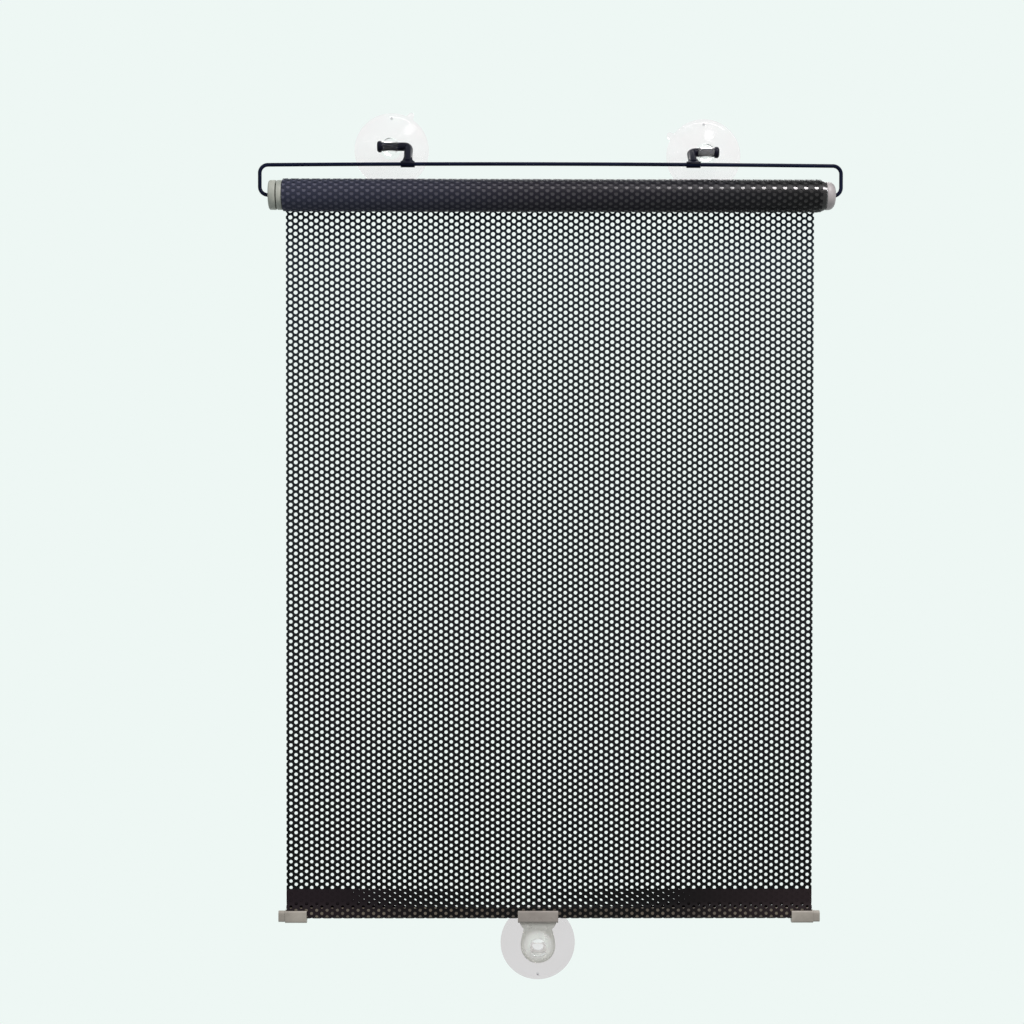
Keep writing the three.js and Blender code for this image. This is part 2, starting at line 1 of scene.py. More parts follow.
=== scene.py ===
# Looks of the spring-roller sunshade: perforated film, wire bail, hooks, suction cups and pull tab.
# Metres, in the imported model's frame: +Z up, the glass on +Y, and the room and the camera on -Y.

import json
import math

import bmesh
import bpy
import numpy as np
from mathutils import Matrix, Vector

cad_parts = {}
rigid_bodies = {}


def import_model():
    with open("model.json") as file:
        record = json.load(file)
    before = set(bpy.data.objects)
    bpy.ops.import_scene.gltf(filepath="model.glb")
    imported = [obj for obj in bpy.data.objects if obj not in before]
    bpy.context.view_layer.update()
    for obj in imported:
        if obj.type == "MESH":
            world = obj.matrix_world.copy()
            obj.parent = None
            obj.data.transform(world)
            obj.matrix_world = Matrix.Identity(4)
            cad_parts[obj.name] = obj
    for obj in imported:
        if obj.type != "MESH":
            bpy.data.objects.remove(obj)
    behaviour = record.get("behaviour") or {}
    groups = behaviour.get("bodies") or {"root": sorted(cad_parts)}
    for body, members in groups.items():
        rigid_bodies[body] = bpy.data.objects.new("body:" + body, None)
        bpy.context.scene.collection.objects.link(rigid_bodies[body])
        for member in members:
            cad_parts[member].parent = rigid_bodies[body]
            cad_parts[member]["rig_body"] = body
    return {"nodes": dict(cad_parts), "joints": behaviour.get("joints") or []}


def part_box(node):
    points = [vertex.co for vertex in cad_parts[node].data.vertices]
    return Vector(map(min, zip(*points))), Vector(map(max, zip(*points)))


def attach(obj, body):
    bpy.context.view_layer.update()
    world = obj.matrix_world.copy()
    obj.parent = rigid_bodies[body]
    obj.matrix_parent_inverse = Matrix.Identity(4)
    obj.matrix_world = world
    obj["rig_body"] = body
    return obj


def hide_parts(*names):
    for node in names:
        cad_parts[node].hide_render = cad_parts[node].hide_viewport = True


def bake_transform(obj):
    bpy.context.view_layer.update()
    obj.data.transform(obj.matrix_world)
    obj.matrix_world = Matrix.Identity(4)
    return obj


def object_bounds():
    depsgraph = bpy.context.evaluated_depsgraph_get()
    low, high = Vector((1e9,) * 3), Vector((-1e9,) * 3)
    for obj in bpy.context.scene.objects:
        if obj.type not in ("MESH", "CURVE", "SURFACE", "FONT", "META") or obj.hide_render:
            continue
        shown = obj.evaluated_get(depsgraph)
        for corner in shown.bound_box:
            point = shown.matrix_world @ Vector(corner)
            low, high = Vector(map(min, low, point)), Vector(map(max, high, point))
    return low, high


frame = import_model()
cad_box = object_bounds()
MM = 0.001
joints = {joint["name"]: joint for joint in frame["joints"]}


def joint_place(name):
    return Vector(joints[name]["pos_m"])


# Places that the frame gives
axis = joint_place("roller_spin")
roll_low, roll_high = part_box("film_roll")
film_low, film_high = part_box("film_sheet")
hem_low, hem_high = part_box("film_hem")
film_plane = (film_low.y + film_high.y) / 2
film_half = (film_high.x - film_low.x) / 2
hem_plane = (hem_low.y + hem_high.y) / 2
drop = axis.z - hem_high.z

# Perforation: staggered rows of round holes
HOLE_PITCH = 8.97 * MM  # along a row
ROW_PITCH = 2.817 * MM  # between neighbouring rows, which stand half a pitch apart
TOP_HOLE = 1.8 * MM  # hole radius near the roller
LOW_HOLE = 1.46 * MM  # hole radius near the hem
FILM = 0.3 * MM  # thickness

# Suction cups
CUP_RADIUS = 32.5 * MM
CUP_DEPTH = 11.5 * MM  # lip to the neck
CUP_WALL = 1.8 * MM
LIP = 3 * MM
NECK_LENGTH = 2.2 * MM
NECK_RADIUS = 4.2 * MM
KNOB_RADIUS = 7.25 * MM
KNOB_LENGTH = 12 * MM
PIN_HOLE = 4.05 * MM  # radius
RELEASE_REACH = 5 * MM
RELEASE_WIDTH = 8 * MM
GATE_PLACE = 27.3 * MM  # from the cup's middle
CUP_IOR = 1.1

# Mesh helpers


def new_piece(name, points, faces):
    mesh = bpy.data.meshes.new(name)
    mesh.from_pydata([tuple(p) for p in points], [], [tuple(f) for f in faces])
    mesh.update()
    piece = bpy.data.objects.new(name, mesh)
    bpy.context.scene.collection.objects.link(piece)
    return piece


def smooth(piece, degrees=35):
    piece.data.shade_smooth()
    piece.data.set_sharp_from_angle(angle=math.radians(degrees))
    return piece


def apply_modifiers(piece):
    bpy.context.view_layer.update()
    graph = bpy.context.evaluated_depsgraph_get()
    mesh = bpy.data.meshes.new_from_object(piece.evaluated_get(graph))
    piece.modifiers.clear()
    piece.data = mesh
    return piece


def paint(piece, material):
    piece.data.materials.clear()
    piece.data.materials.append(material)
    return piece


def combine(piece, other, operation):
    """Joins a second closed mesh to the piece, or cuts it away."""
    change = piece.modifiers.new("change", "BOOLEAN")
    change.operation = operation
    change.solver = "EXACT"
    change.object = other
    apply_modifiers(piece)
    bpy.data.objects.remove(other)
    return piece


def lathe(name, profile, direction, sides=96):
    """Turns a profile of (along, radius) about a line through the origin. Radii of 0 close the ends."""
    on_axis = 1e-7
    side = Vector((0, 0, 1))
    other = direction.cross(side)
    points, rings = [], []
    for along, radius in profile:
        if radius < on_axis:
            rings.append([len(points)])
            points.append(direction * along)
            continue
        rings.append(list(range(len(points), len(points) + sides)))
        for i in range(sides):
            turn = 2 * math.pi * i / sides
            spoke = side * radius * math.cos(turn) + other * radius * math.sin(turn)
            points.append(direction * along + spoke)
    faces = []
    for a, b in zip(rings, rings[1:]):
        for i in range(sides):
            j = (i + 1) % sides
            corners = [a[i % len(a)], a[j % len(a)], b[j % len(b)], b[i % len(b)]]
            unique = list(dict.fromkeys(corners))
            if len(unique) > 2:
                faces.append(unique)
    piece = new_piece(name, points, faces)
    outward(piece)
    return piece


def outward(piece):
    work = bmesh.new()
    work.from_mesh(piece.data)
    bmesh.ops.recalc_face_normals(work, faces=work.faces)
    work.to_mesh(piece.data)
    work.free()


def rod(name, route, radius, sides=24):
    """A round rod through a list of points, closed at its ends."""
    route = [Vector(p) for p in route]
    points, faces = [], []
    normal = Vector((0, 1, 0))
    for i, place in enumerate(route):
        ahead = route[min(i + 1, len(route) - 1)] - route[max(i - 1, 0)]
        ahead.normalize()
        normal = (normal - ahead * normal.dot(ahead)).normalized()
        across = ahead.cross(normal)
        for k in range(sides):
            turn = 2 * math.pi * k / sides
            spoke = normal * radius * math.cos(turn) + across * radius * math.sin(turn)
            points.append(place + spoke)
    for i in range(len(route) - 1):
        for k in range(sides):
            a, b = i * sides + k, i * sides + (k + 1) % sides
            faces.append((a, b, b + sides, a + sides))
    faces.append(tuple(range(sides)))
    faces.append(tuple(range(len(points) - sides, len(points))))
    piece = new_piece(name, points, faces)
    outward(piece)
    return piece


WELD = 1e-6  # points closer than this are one
SOFT_EDGE = 0.3 * MM


def refined(node, material):
    """The CAD node's own form with softened edges, in its place."""
    source = frame["nodes"][node]
    piece = bpy.data.objects.new(node + "_fine", source.data.copy())
    bpy.context.scene.collection.objects.link(piece)
    work = bmesh.new()
    work.from_mesh(piece.data)
    bmesh.ops.remove_doubles(work, verts=work.verts, dist=WELD)
    flat = math.radians(1)
    bmesh.ops.dissolve_limit(work, angle_limit=flat, verts=work.verts, edges=work.edges)
    work.to_mesh(piece.data)
    work.free()
    soft = piece.modifiers.new("soft", "BEVEL")
    soft.width = SOFT_EDGE
    soft.segments = 2
    soft.limit_method = "ANGLE"
    soft.angle_limit = math.radians(32)
    apply_modifiers(piece)
    smooth(piece, 30)
    paint(piece, material)
    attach(piece, source["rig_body"])
    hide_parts(node)
    return piece


# Materials


class Nodes:
    """A material being built, with short calls for its nodes."""

    def __init__(self, name):
        self.material = bpy.data.materials.new(name)
        self.material.use_nodes = True
        self.tree = self.material.node_tree
        self.shader = self.tree.nodes["Principled BSDF"]
        self.place = self.tree.nodes.new("ShaderNodeTexCoord").outputs["Object"]

    def link(self, output, target):
        self.tree.links.new(output, target)

    def part(self, direction):
        """The X, Y or Z of the place."""
        parts = self.tree.nodes.new("ShaderNodeSeparateXYZ")
        self.link(self.place, parts.inputs["Vector"])
        return parts.outputs[direction]

    def near_line(self, middle, radius):
        """1 on the line along Y through the place given, and 0 from the radius outward."""
        mapping = self.tree.nodes.new("ShaderNodeMapping")
        mapping.inputs["Location"].default_value = (-middle.x / radius, 0, -middle.z / radius)
        mapping.inputs["Scale"].default_value = (1 / radius, 0, 1 / radius)
        self.link(self.place, mapping.inputs["Vector"])
        gradient = self.tree.nodes.new("ShaderNodeTexGradient")
        gradient.gradient_type = "SPHERICAL"
        self.link(mapping.outputs["Vector"], gradient.inputs["Vector"])
        return gradient.outputs["Fac"]

    def stretched(self, scale):
        mapping = self.tree.nodes.new("ShaderNodeMapping")
        mapping.inputs["Scale"].default_value = scale
        self.link(self.place, mapping.inputs["Vector"])
        return mapping.outputs["Vector"]

    def noise(self, scale, detail=3.0, place=None):
        node = self.tree.nodes.new("ShaderNodeTexNoise")
        node.inputs["Scale"].default_value = scale
        node.inputs["Detail"].default_value = detail
        self.link(place or self.place, node.inputs["Vector"])
        return node.outputs["Fac"]

    def ramp(self, value, stops):
        node = self.tree.nodes.new("ShaderNodeValToRGB")
        elements = node.color_ramp.elements
        elements[0].position, elements[0].color = stops[0][0], (*stops[0][1], 1)
        elements[1].position, elements[1].color = stops[-1][0], (*stops[-1][1], 1)
        for position, colour in stops[1:-1]:
            elements.new(position).color = (*colour, 1)
        self.link(value, node.inputs["Fac"])
        return node.outputs["Color"]

    def spread(self, value, low, high, start=0.3, stop=0.7):
        """Maps a value from the range start to stop onto the range low to high, clamped."""
        node = self.tree.nodes.new("ShaderNodeMapRange")
        node.inputs["From Min"].default_value = start
        node.inputs["From Max"].default_value = stop
        node.inputs["To Min"].default_value = low
        node.inputs["To Max"].default_value = high
        self.link(value, node.inputs["Value"])
        return node.outputs["Result"]

    def bump(self, height, strength, distance):
        node = self.tree.nodes.new("ShaderNodeBump")
        node.inputs["Strength"].default_value = strength
        node.inputs["Distance"].default_value = distance
        self.link(height, node.inputs["Height"])
        self.link(node.outputs["Normal"], self.shader.inputs["Normal"])


def linear(red, green, blue):
    """A colour written in the picture's 0 to 255 values."""
    def one(value):
        value /= 255
        return value / 12.92 if value <= 0.04045 else ((value + 0.055) / 1.055) ** 2.4
    return (one(red), one(green), one(blue))


def moulded(name, dark, light, roughness=0.45, grain=0.25, shine=0.5):
    """Moulded plastic: two close tones in soft clouds, a fine grain and uneven gloss."""
    nodes = Nodes(name)
    nodes.shader.inputs["Specular IOR Level"].default_value = shine
    clouds = nodes.noise(60, 4)
    nodes.link(nodes.ramp(clouds, [(0.35, dark), (0.65, light)]), nodes.shader.inputs["Base Color"])
    gloss = nodes.spread(nodes.noise(180), roughness - 0.06, roughness + 0.08)
    nodes.link(gloss, nodes.shader.inputs["Roughness"])
    nodes.bump(nodes.noise(2400, 2), grain, 0.05 * MM)
    return nodes.material


STREAKS = 0.2  # share of the film's tone that its streaks make


def film_material(name, direction, start, stop, tones, gloss, shine):
    """Dark film whose tone and roughness change along one direction, with faint streaks. The change of tone
    along that direction paints light and reflection.
    """
    nodes = Nodes(name)
    streaks = nodes.noise(6, place=nodes.stretched((1, 1, 0.35)))
    tone = nodes.tree.nodes.new("ShaderNodeMath")
    tone.operation = "MULTIPLY_ADD"
    nodes.link(streaks, tone.inputs[0])
    tone.inputs[1].default_value = STREAKS
    nodes.link(nodes.spread(nodes.part(direction), 0.0, 1.0 - STREAKS, start, stop), tone.inputs[2])
    nodes.link(nodes.ramp(tone.outputs[0], tones), nodes.shader.inputs["Base Color"])
    roughness = nodes.spread(tone.outputs[0], gloss[0], gloss[1], 0.1, 0.9)
    nodes.link(roughness, nodes.shader.inputs["Roughness"])
    nodes.shader.inputs["Specular IOR Level"].default_value = shine
    nodes.bump(nodes.noise(900, 2), 0.1, 0.03 * MM)
    return nodes.material


def blended(nodes, share, first, second):
    """Mixes two colours by a share: 0 gives the first and 1 the second."""
    mix = nodes.tree.nodes.new("ShaderNodeMix")
    mix.data_type = "RGBA"
    nodes.link(share, mix.inputs["Factor"])
    nodes.link(first, mix.inputs["A"])
    if isinstance(second, tuple):
        mix.inputs["B"].default_value = (*second, 1)
    else:
        nodes.link(second, mix.inputs["B"])
    return mix.outputs["Result"]


KNOB_CLEARING = 16 * MM  # radius round the knob within which the haze changes
GATE_MARK = 1.8 * MM  # radius
GATE_TONE = (0.3, 0.3, 0.33)


def cup_material(name, knob_place, gate_turn, tones, knob_tone, haze):
    """Clear soft plastic: a dome, a knob and the grey mark of the moulding gate.

    The haze is a pair of shares, for the dome and for the knob."""
    nodes = Nodes(name)
    turn = math.radians(gate_turn)
    gate_place = knob_place + GATE_PLACE * Vector((math.sin(turn), 0, math.cos(turn)))
    knob = nodes.spread(nodes.near_line(knob_place, KNOB_CLEARING), 0.0, 1.0, 0.35, 0.5)
    gate = nodes.spread(nodes.near_line(gate_place, GATE_MARK), 0.0, 0.45, 0.1, 0.6)
    dome = nodes.ramp(nodes.noise(40), [(0.3, tones[0]), (0.7, tones[1])])
    body = blended(nodes, knob, dome, knob_tone)
    nodes.link(blended(nodes, gate, body, GATE_TONE), nodes.shader.inputs["Base Color"])
    nodes.link(nodes.spread(nodes.noise(120), 0.04, 0.12), nodes.shader.inputs["Roughness"])
    clearness = nodes.spread(knob, 1.0 - haze[0], 1.0 - haze[1], 0.0, 1.0)
    nodes.link(clearness, nodes.shader.inputs["Transmission Weight"])
    nodes.shader.inputs["IOR"].default_value = CUP_IOR
    nodes.bump(nodes.noise(300, 2), 0.06, 0.05 * MM)
    return nodes.material


def metal(name, dark, light, roughness):
    """Drawn or rolled metal, with fine lines along X."""
    nodes = Nodes(name)
    lines = nodes.noise(120, place=nodes.stretched((1, 30, 30)))
    nodes.link(nodes.ramp(lines, [(0.3, dark), (0.7, light)]), nodes.shader.inputs["Base Color"])
    nodes.link(nodes.spread(lines, roughness - 0.05, roughness + 0.1), nodes.shader.inputs["Roughness"])
    nodes.shader.inputs["Metallic"].default_value = 1.0
    nodes.bump(lines, 0.15, 0.03 * MM)
    return nodes.material


# The film's tones, from the roller down to the hem and from left to right. Their change along the film is
# painted light and reflection, over faint streaks.
# The hanging film: painted light, bluish and lighter near the roller and darker towards the hem
FILM_PAINTED_LIGHT_TONES = [(0.1, linear(30, 36, 46)), (0.3, linear(27, 31, 34)),
              (0.65, linear(22, 22, 25)), (0.9, linear(9, 9, 10))]
# The hem: painted light and reflection, brownish and lighter at its two ends, darker in the middle
HEM_PAINTED_LIGHT_TONES = [(0.1, linear(32, 24, 28)), (0.35, linear(12, 11, 12)),
             (0.65, linear(12, 11, 12)), (0.85, linear(36, 28, 30))]
# The wound film's outer turn: painted light, lighter and bluer at the left end and darker to the right
ROLL_PAINTED_LIGHT_TONES = [(0.1, linear(38, 40, 54)), (0.5, linear(24, 22, 30)), (0.9, linear(9, 8, 10))]
# The turn under it, seen through the holes: painted light, lighter to the left and darker to the right
UNDER_PAINTED_LIGHT_TONES = [(0.1, linear(60, 60, 76)), (0.5, linear(50, 47, 53)), (0.9, linear(30, 27, 28))]
width = (-film_half, film_half)
film_look = film_material("film_black", "Z", film_high.z, film_low.z, FILM_PAINTED_LIGHT_TONES, (0.4, 0.42), 0.08)
hem_look = film_material("film_hem", "X", *width, HEM_PAINTED_LIGHT_TONES, (0.4, 0.42), 0.08)
roll_look = film_material("film_wound", "X", *width, ROLL_PAINTED_LIGHT_TONES, (0.5, 0.38), 0.1)
under_look = film_material("film_underlayer", "X", *width, UNDER_PAINTED_LIGHT_TONES, (0.55, 0.2), 0.34)

# Plastics and metals
wire_look = moulded("wire_coating", (0.002, 0.003, 0.013), (0.004, 0.006, 0.020), 0.4, 0.15, 0.05)
cap_look = moulded("cap_grey", linear(128, 132, 124), linear(156, 157, 147))
# Painted light: the right plug, the same grey plastic as the left, is toned pinker for the light on the
# right end
right_cap_lit_look = moulded("cap_grey_lit_right", linear(133, 128, 128), linear(154, 148, 148))
clip_look = moulded("clip_warm_grey", linear(141, 134, 125), linear(163, 156, 146))
hook_look = moulded("hook_black", (0.002, 0.002, 0.007), (0.005, 0.005, 0.012), 0.35, 0.2, 0.08)
# The hem bar: dark plastic, its tone raised and browned to paint the sheen that shows on it through the
# holes
bar_tone_and_sheen_look = moulded("bar_dark_and_sheen", linear(76, 66, 58), linear(114, 103, 88), 0.35, 0.2)
tube_look = metal("tube_aluminium", (0.45, 0.46, 0.47), (0.62, 0.63, 0.64), 0.3)
steel_look = metal("spring_steel", (0.35, 0.36, 0.38), (0.5, 0.51, 0.53), 0.3)


def low_cup_place():
    """The bottom cup's box gives the middle of its knob's cross hole."""
    low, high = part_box("cup_bottom")
    depth = KNOB_LENGTH / 2 + NECK_LENGTH + CUP_DEPTH
    return Vector(((low.x + high.x) / 2, high.y - depth, low.z + CUP_RADIUS))


TAB_IOR = 1.2


def tab_material():
    """Translucent plastic: brown-grey where it grips the hem, grey in the rim and clear in the web."""
    nodes = Nodes("tab_translucent")
    grip = nodes.spread(nodes.part("Z"), 0.0, 1.0, hem_low.z - 7 * MM, hem_low.z - 2 * MM)
    web = nodes.near_line(low_cup_place(), 20 * MM)
    tongue = nodes.ramp(web, [(0.3, linear(207, 207, 201)), (0.42, linear(236, 236, 232))])
    sleeve = nodes.ramp(nodes.noise(70), [(0.3, linear(144, 137, 131)), (0.7, linear(160, 153, 146))])
    nodes.link(blended(nodes, grip, tongue, sleeve), nodes.shader.inputs["Base Color"])
    nodes.link(nodes.spread(nodes.noise(160), 0.25, 0.37), nodes.shader.inputs["Roughness"])
    nodes.link(nodes.spread(grip, 0.85, 0.05, 0.0, 1.0), nodes.shader.inputs["Transmission Weight"])
    nodes.shader.inputs["IOR"].default_value = TAB_IOR
    nodes.bump(nodes.noise(1500, 2), 0.12, 0.04 * MM)
    return nodes.material


left_place = joint_place("left_cup_tilt")
right_place = joint_place("right_cup_tilt")
low_place = low_cup_place()
UPPER_TONES = ((1.0, 0.93, 0.95), (1.0, 0.96, 0.975))
UPPER_KNOB = (0.98, 0.97, 0.97)
# The bottom cup is the same clear plastic as the upper ones; its greyer tones are painted shade, the dome
# darker than the knob
LOWER_SHADED_TONES = ((0.77, 0.70, 0.72), (0.79, 0.72, 0.745))
LOWER_SHADED_KNOB = (0.94, 0.91, 0.92)
left_cup_look = cup_material("cup_left_clear", left_place, 0, UPPER_TONES, UPPER_KNOB, (0.04, 0.01))
right_cup_look = cup_material("cup_right_clear", right_place, 0, UPPER_TONES, UPPER_KNOB, (0.04, 0.06))
low_cup_shaded_look = cup_material("cup_low_clear_shaded", low_place, 180, LOWER_SHADED_TONES, LOWER_SHADED_KNOB, (0.0, 0.0))
tab_look = tab_material()

# Perforated film


SHRINK_CURVE = 1.2  # power by which the holes shrink towards the hem


def hole_radius(along):
    """The holes are a little smaller towards the hem."""
    share = np.clip(along / drop, 0, 1)
    return TOP_HOLE + (LOW_HOLE - TOP_HOLE) * share ** SHRINK_CURVE


def lattice(first_row, last_row, half_width, row_pitch):
    """Film round staggered holes: one six-sided cell a hole, in metres across and along.

    Returns the points as (across, along) and the triangles."""
    quarter, rise = HOLE_PITCH ** 2 / 4, row_pitch ** 2
    near, far = (quarter - rise) / HOLE_PITCH, (quarter + rise) / HOLE_PITCH
    outer = np.array([(far, 0), (near, row_pitch), (-near, row_pitch),
                      (-far, 0), (-near, -row_pitch), (near, -row_pitch)])
    angles = np.unwrap(np.arctan2(outer[:, 1], outer[:, 0]))
    between = (angles + np.append(angles[1:], angles[0] + 2 * math.pi)) / 2
    inner_angles = np.stack([angles, between], 1).ravel()
    inner = np.stack([np.cos(inner_angles), np.sin(inner_angles)], 1)
    triangles = []
    for i in range(6):
        a, b = i, (i + 1) % 6
        rim = [6 + 2 * i, 7 + 2 * i, 6 + (2 * i + 2) % 12]
        triangles += [(a, b, rim[1]), (a, rim[1], rim[0]), (b, rim[2], rim[1])]
    triangles = np.array(triangles)
    centres = []
    for row in range(first_row, last_row + 1):
        shift = HOLE_PITCH / 2 if row % 2 else 0
        count = int((half_width + HOLE_PITCH) / HOLE_PITCH)
        centres += [(i * HOLE_PITCH + shift, row * row_pitch) for i in range(-count - 1, count + 1)]
    centres = np.array(centres)
    radii = hole_radius(centres[:, 1])
    rims = centres[:, None, :] + radii[:, None, None] * inner[None]
    corners = centres[:, None, :] + outer[None]
    cells = np.concatenate([corners, rims], 1)
    points = cells.reshape(-1, 2)
    faces = (triangles[None] + np.arange(len(centres))[:, None, None] * cells.shape[1]).reshape(-1, 3)
    rounded = np.round(points / WELD).astype(np.int64)
    _, keep, back = np.unique(rounded, axis=0, return_index=True, return_inverse=True)
    return points[keep], back.ravel()[faces]


def flat_film(name, first_row, last_row, half_width, row_pitch=ROW_PITCH):
    """The lattice as a mesh that lies in across (X) and along (Y), cut to the film's width."""
    points, faces = lattice(first_row, last_row, half_width, row_pitch)
    mesh = bpy.data.meshes.new(name)
    mesh.vertices.add(len(points))
    mesh.vertices.foreach_set("co", np.column_stack([points, np.zeros(len(points))]).ravel())
    mesh.loops.add(faces.size)
    mesh.loops.foreach_set("vertex_index", faces.ravel().astype(np.int32))
    mesh.polygons.add(len(faces))
    mesh.polygons.foreach_set("loop_start", np.arange(0, faces.size, 3, dtype=np.int32))
    mesh.update(calc_edges=True)
    work = bmesh.new()
    work.from_mesh(mesh)
    bpy.data.meshes.remove(mesh)
    for side in (-1, 1):
        cut(work, (side * half_width, 0, 0), (side, 0, 0))
    return work


def cut(work, place, direction):
    """Takes off what lies past a plane."""
    everything = work.verts[:] + work.edges[:] + work.faces[:]
    bmesh.ops.bisect_plane(work, geom=everything, dist=1e-8, plane_co=place, plane_no=direction,
                           clear_outer=True)


def film_piece(name, work, place, material):
    """Moves every point of the flat film to where it lies, and makes the piece."""
    for vertex in work.verts:
        vertex.co = place(vertex.co.x, vertex.co.y)
    mesh = bpy.data.meshes.new(name)
    work.to_mesh(mesh)
    work.free()
    mesh.shade_smooth()
    piece = bpy.data.objects.new(name, mesh)
    bpy.context.scene.collection.objects.link(piece)
    return paint(piece, material)


# In use the hanging film changes its height with the hem. Here it is cut into bands at these shares of its
# drop, narrow near the bail and the hem and wide in the middle.
BAND_SHARES = [0, 0.02, 0.08, 0.2, 0.4, 0.6, 0.8, 0.92, 0.98, 1]
MIDDLE_BAND = 4  # stands for the CAD's film


def hanging(x, along):
    return (x, film_plane, axis.z - along)


def film_bands():
    whole = flat_film("film", -1, int(drop / ROW_PITCH) + 2, film_half)
    for number, (start, end) in enumerate(zip(BAND_SHARES, BAND_SHARES[1:])):
        work = whole.copy()
        cut(work, (0, start * drop, 0), (0, -1, 0))
        cut(work, (0, end * drop, 0), (0, 1, 0))
        band = film_piece(f"film_band_{number}", work, hanging, film_look)
        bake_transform(band)
        if number == MIDDLE_BAND:
            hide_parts("film_sheet")
    whole.free()


film_bands()

# The doubled hem: front layer, fold round the bar, and back layer, whose rows drift out of line to the sides
BAR_HALF = 1.6 * MM
HEM_POCKET = 0.3 * MM
IN_LINE_PLACE = -27 * MM  # where the two layers' holes line up
OUT_OF_LINE_REACH = 160 * MM  # from there to where the back layer's rows lie between the front layer's
SIDESTEP = 1.36 * MM  # how far the back layer has moved sideways there, which closes the holes fully
DRIFT_CURVE = 1.4  # power by which the rows drift
DRIFT_START = 6 * MM  # length past the fold over which the back layer takes up its shift
POCKET_HEIGHT = 8 * MM
POCKET_NECK = 5.5 * MM  # height over which the two layers close again above the bar


def hem_path():
    """The hem's section as (y, z) points from the top of the front layer to the top of the back layer."""
    flat, full = FILM / 2, BAR_HALF + HEM_POCKET + FILM / 2
    bottom = hem_low.z + full + FILM / 2
    shoulder = hem_low.z + FILM + HEM_POCKET + POCKET_HEIGHT
    neck = shoulder + POCKET_NECK
    front = [(-flat, hem_high.z), (-flat, neck)]
    for i in range(1, 9):
        share = i / 8
        ease = share * share * (3 - 2 * share)
        front.append((-flat - (full - flat) * ease, neck + (shoulder - neck) * share))
    front.append((-full, bottom))
    turns = [math.pi * i / 12 for i in range(1, 12)]
    fold = [(-full * math.cos(turn), bottom - full * math.sin(turn)) for turn in turns]
    back = [(-y, z) for y, z in reversed(front)]
    return np.array(front + fold + back)


def hem_film():
    path = hem_path()
    steps = np.concatenate([[0], np.cumsum(np.hypot(*np.diff(path, axis=0).T))])
    length = steps[-1]
    first = math.ceil(drop / ROW_PITCH) - 2
    last = first + int(length / ROW_PITCH) + 6
    work = flat_film("hem", first, last, film_half + 2 * SIDESTEP)
    bmesh.ops.translate(work, vec=(0, -drop, 0), verts=work.verts)
    in_line = math.remainder(length + 2 * drop, 2 * ROW_PITCH)
    for vertex in work.verts:
        past_fold = np.clip((vertex.co.y - length / 2) / DRIFT_START, 0, 1)
        drift = min(abs(vertex.co.x - IN_LINE_PLACE) / OUT_OF_LINE_REACH, 1)
        vertex.co.y += (in_line + ROW_PITCH * drift ** DRIFT_CURVE) * past_fold
        vertex.co.x += SIDESTEP * drift * past_fold
    cut(work, (0, 0, 0), (0, -1, 0))
    cut(work, (0, length, 0), (0, 1, 0))
    for side in (-1, 1):
        cut(work, (side * film_half, 0, 0), (side, 0, 0))

    def folded(x, along):
        return (x, hem_plane + np.interp(along, steps, path[:, 0]), np.interp(along, steps, path[:, 1]))

    hem = film_piece("hem_fold", work, folded, hem_look)
    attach(hem, "hem")
    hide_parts("film_hem")


hem_film()

# The wound film: a solid core of turns and two perforated turns round it
ROLL_ROWS = 30
OUTER_TURN = -0.058  # turns the outer film so that one row of its holes takes the light
SECOND_TURN = 0.11
ROLL_SWELL = 0.3 * MM  # how far the loose outer turn stands off the CAD's roll
SECOND_DEPTH = 0.35 * MM  # below the outer turn
CORE_DEPTH = 0.7 * MM
OUTER_WANDER = (0.4 * MM, 4.2 * MM)  # from the roll's left and right ends to the film's edges
SECOND_WANDER = (0.2 * MM, 3.6 * MM)
CORE_BORE = 11.3 * MM  # radius
CORE_TURNS = 9  # steps that can be seen at the roll's ends
CORE_TAPER = 3.2 * MM  # how far the outermost step stands back at the right end
CORE_CURVE = 1.5
STEP_WANDER = 0.15 * MM


def wound_turn(name, radius, turn, material, wander):
    """One turn of perforated film round the roller, closed on itself."""
    left, right = roll_low.x + wander[0], roll_high.x - wander[1]
    pitch = 2 * math.pi * radius / ROLL_ROWS
    work = flat_film(name, 0, ROLL_ROWS - 1, (right - left) / 2, pitch)
    middle = (left + right) / 2

    def wound(x, along):
        angle = along / radius + turn
        return (x + middle, axis.y - radius * math.cos(angle), axis.z + radius * math.sin(angle))

    piece = film_piece(name, work, wound, material)
    join = bmesh.new()
    join.from_mesh(piece.data)
    bmesh.ops.remove_doubles(join, verts=join.verts, dist=WELD)
    join.to_mesh(piece.data)
    join.free()
    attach(piece, "roller")
    return piece


def core_end(end, sign, wall):
    """The stepped edges of the turns at one end of the core, from the bore outward."""
    edges = []
    for i in range(CORE_TURNS):
        back = STEP_WANDER * (1 + math.sin(2.3 * i + sign))
        if sign > 0:
            back += CORE_TAPER * (i / (CORE_TURNS - 1)) ** CORE_CURVE
        along = end - sign * back
        edges.append((along, CORE_BORE + wall * i / CORE_TURNS))
        edges.append((along, CORE_BORE + wall * (i + 1) / CORE_TURNS))
    return edges


def film_roll():
    radius = (roll_high.z - roll_low.z) / 2 + ROLL_SWELL
    outer = wound_turn("roll_outer_turn", radius, OUTER_TURN, roll_look, OUTER_WANDER)
    second = wound_turn("roll_second_turn", radius - SECOND_DEPTH, SECOND_TURN, under_look, SECOND_WANDER)
    wall = radius - CORE_DEPTH - CORE_BORE
    profile = core_end(roll_low.x, -1, wall) + core_end(roll_high.x, 1, wall)[::-1]
    core = lathe("roll_core", profile + profile[:1], Vector((1, 0, 0)))
    for vertex in core.data.vertices:
        vertex.co += Vector((0, axis.y, axis.z))
    smooth(core, 30)
    paint(core, under_look)
    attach(core, "roller")
    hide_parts("film_roll")


